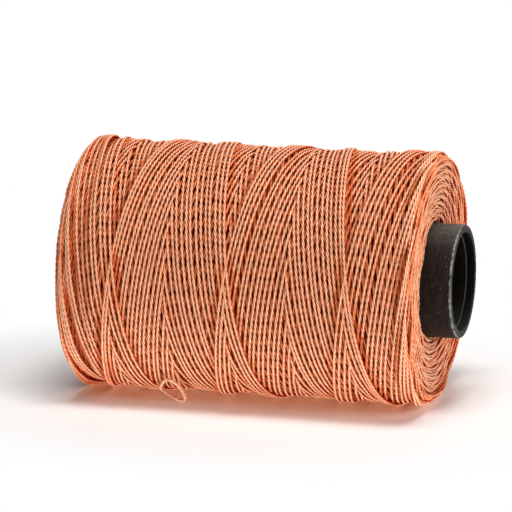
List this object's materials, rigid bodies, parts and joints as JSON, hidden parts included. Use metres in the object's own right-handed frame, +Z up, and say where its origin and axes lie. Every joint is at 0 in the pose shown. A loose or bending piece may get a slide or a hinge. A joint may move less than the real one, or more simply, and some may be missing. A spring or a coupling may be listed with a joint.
{
  "type": "waxed thread spool",
  "caption": "Spool of waxed thread for hand sewing leather: a plastic tube with a cross-wound package of twisted thread, lying on its side.",
  "frame": {"origin": "under the middle of the tube, on the surface that the spool rests on", "axes": "+X along the tube's axis, +Z up, square to the surface that the spool rests on"},
  "size_m": [0.0954, 0.06, 0.0601],
  "materials": {
    "tube_plastic": "worn near-black moulded plastic, scuffed grey at the rims",
    "waxed_thread": "twisted copper-coloured thread with a soft waxy sheen"
  },
  "bodies": {
    "root": {"core_tube": "tube_plastic", "package_core": "waxed_thread", "outer_winding": "waxed_thread", "slack_loop": "waxed_thread"}
  },
  "joints": []
}
